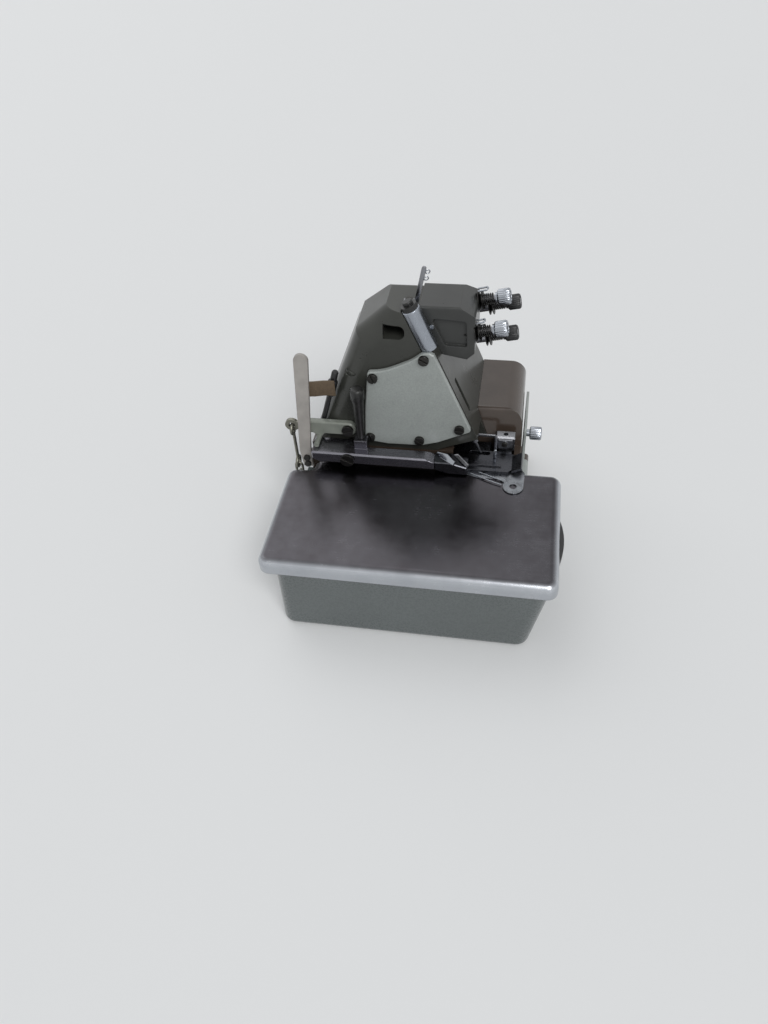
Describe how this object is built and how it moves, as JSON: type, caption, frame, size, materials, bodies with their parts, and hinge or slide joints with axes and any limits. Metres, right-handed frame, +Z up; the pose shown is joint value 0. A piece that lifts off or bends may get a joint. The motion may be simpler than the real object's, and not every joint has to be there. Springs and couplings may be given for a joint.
{
  "type": "overlock sewing machine head",
  "caption": "Overlock sewing machine head with an A-shaped arm, swinging cloth plate, presser foot with lift lever and chain, open knives and loopers, tension nuts and a belt handwheel.",
  "frame": {"origin": "centre of the base underside, which stands on the table", "axes": "+X to the operator's right towards the handwheel, +Y to the back, +Z up"},
  "size_m": [0.27, 0.2429, 0.254],
  "materials": {
    "bed_paint": "hammered grey-green enamel",
    "cloth_plate_steel": "satin with a bright rolled edge",
    "frame_paint": "glossy warm grey enamel",
    "arm_paint": "glossy grey-green enamel",
    "cover_paint": "satin pale grey-green enamel",
    "block_paint": "glossy grey-green enamel",
    "gasket": "matte",
    "screws": "satin",
    "tube_chrome": "satin chrome",
    "bright_chrome": "polished, fluted",
    "polished_steel": "ground and polished",
    "black_plastic": "glossy",
    "black_nut": "satin",
    "dark_steel": "oiled",
    "cast": "turned faces and painted web",
    "bar_paint": "satin light grey",
    "lever_paint": "satin grey-green",
    "worn_steel": "brownish, worn",
    "leather": "worn brown",
    "bronze": "turned"
  },
  "bodies": {
    "base": {"arm_casting": "arm_paint", "bed_box": "bed_paint", "end_flange": "cast", "end_flange_screws": "screws", "front_cover_pin": "polished_steel", "guide_bar": "bar_paint", "guide_bar_screws": "screws", "guide_rod": "black_nut", "guide_strap": "leather", "knife_guide": "dark_steel", "lift_lever_pivot": "screws", "lower_knife": "polished_steel", "lower_knife_holder": "dark_steel", "main_frame": "frame_paint", "needle_guard_cap": "black_plastic", "needle_guard_tube": "tube_chrome", "needle_plate": "polished_steel", "needle_plate_screws": "screws", "presser_pivot": "screws", "rear_cover": "cover_paint", "rear_cover_screws": "screws", "shaft_bushes": "bronze", "side_cover": "cover_paint", "side_cover_gasket": "gasket", "side_cover_screws": "screws", "tension_block": "block_paint", "tension_discs": "polished_steel", "tension_posts": "polished_steel", "tension_springs": "dark_steel", "thread_strip": "polished_steel", "thread_strip_screw": "screws"},
    "handwheel_shaft": {"handwheel": "cast", "main_shaft": "polished_steel"},
    "needle_slide": {"needle_bar": "polished_steel", "needle": "polished_steel"},
    "feed": {"feed_dog": "polished_steel"},
    "knife": {"upper_knife": "polished_steel", "upper_knife_holder": "dark_steel"},
    "looper_lower": {"lower_looper": "polished_steel"},
    "looper_upper": {"upper_looper": "polished_steel"},
    "presser": {"presser_arm": "polished_steel", "presser_foot": "polished_steel", "presser_handle": "black_plastic"},
    "lever": {"lift_lever": "lever_paint", "lift_lever_eye": "worn_steel"},
    "hook": {"lift_hook": "worn_steel"},
    "chain": {"lift_chain": "worn_steel"},
    "plate": {"cloth_plate": "cloth_plate_steel", "cloth_plate_pin": "polished_steel", "plate_latch": "black_nut"},
    "cover": {"front_cover": "cover_paint", "front_cover_knob": "bright_chrome"},
    "plug": {"oil_plug": "black_plastic"},
    "needle_nut_near": {"needle_tension_nut_near": "bright_chrome"},
    "needle_nut_far": {"needle_tension_nut_far": "bright_chrome"},
    "looper_nut_near": {"looper_tension_nut_near": "black_nut"},
    "looper_nut_far": {"looper_tension_nut_far": "black_nut"}
  },
  "joints": [
    {"name": "handwheel_turn", "type": "hinge", "parent": "base", "child": "handwheel_shaft", "pos_m": [0.136, 0.012, 0.062], "axis": [1, 0, 0], "continuous": true},
    {"name": "needle_stroke", "type": "slide", "parent": "base", "child": "needle_slide", "axis": [0, 0.3827, 0.9239], "range_m": [0, 0.026]},
    {"name": "feed_travel", "type": "slide", "parent": "base", "child": "feed", "axis": [0, 0.985, 0.1726], "range_m": [0, 0.004]},
    {"name": "knife_stroke", "type": "slide", "parent": "base", "child": "knife", "axis": [0, 0, 1], "range_m": [0, 0.006]},
    {"name": "lower_looper_swing", "type": "hinge", "parent": "base", "child": "looper_lower", "pos_m": [0.02, -0.03, 0.026], "axis": [0, 1, 0], "range_deg": [0, 12]},
    {"name": "upper_looper_swing", "type": "hinge", "parent": "base", "child": "looper_upper", "pos_m": [0.033, -0.03, 0.028], "axis": [0, 1, 0], "range_deg": [-8, 0]},
    {"name": "presser_lift", "type": "hinge", "parent": "base", "child": "presser", "pos_m": [0, 0.06, 0.0922], "axis": [-1, 0, 0], "range_deg": [0, 3.9]},
    {"name": "lever_pull", "type": "hinge", "parent": "base", "child": "lever", "pos_m": [0.012, 0.062, 0.109], "axis": [-1, 0, 0], "range_deg": [0, 4.25]},
    {"name": "hook_swing", "type": "hinge", "parent": "lever", "child": "hook", "pos_m": [0.0121, 0.112, 0.109], "axis": [1, 0, 0], "range_deg": [-1, 24]},
    {"name": "chain_swing", "type": "hinge", "parent": "hook", "child": "chain", "pos_m": [0.0121, 0.112, 0.061], "axis": [1, 0, 0], "range_deg": [-2, 30]},
    {"name": "cloth_plate_swing", "type": "hinge", "parent": "base", "child": "plate", "pos_m": [-0.1, 0.088, 0.066], "axis": [0, 0, -1], "range_deg": [0, 75]},
    {"name": "front_cover_open", "type": "hinge", "parent": "base", "child": "cover", "pos_m": [0.054, -0.0912, 0.012], "axis": [1, 0, 0], "range_deg": [0, 90]},
    {"name": "oil_plug_lift", "type": "slide", "parent": "base", "child": "plug", "axis": [0.464, 0, 0.8858], "range_m": [0, 0.008]},
    {"name": "needle_nut_near_turn", "type": "hinge", "parent": "base", "child": "needle_nut_near", "pos_m": [0.032, -0.043, 0.198], "axis": [0, -0.9781, 0.2079], "range_deg": [-180, 180]},
    {"name": "needle_nut_far_turn", "type": "hinge", "parent": "base", "child": "needle_nut_far", "pos_m": [0.057, -0.043, 0.211], "axis": [0, -0.9781, 0.2079], "range_deg": [-180, 180]},
    {"name": "looper_nut_near_turn", "type": "hinge", "parent": "base", "child": "looper_nut_near", "pos_m": [0.042, -0.043, 0.1865], "axis": [0, -0.9781, 0.2079], "range_deg": [-180, 180]},
    {"name": "looper_nut_far_turn", "type": "hinge", "parent": "base", "child": "looper_nut_far", "pos_m": [0.067, -0.043, 0.199], "axis": [0, -0.9781, 0.2079], "range_deg": [-180, 180]}
  ],
  "couplings": [
    {"joint": "feed_travel", "follows": "needle_stroke", "ratio": 0.1538},
    {"joint": "knife_stroke", "follows": "needle_stroke", "ratio": 0.2307},
    {"joint": "lower_looper_swing", "follows": "needle_stroke", "rad_per_m": 8.05},
    {"joint": "upper_looper_swing", "follows": "needle_stroke", "rad_per_m": -5.36},
    {"joint": "lever_pull", "follows": "presser_lift", "ratio": 1.0769}
  ]
}
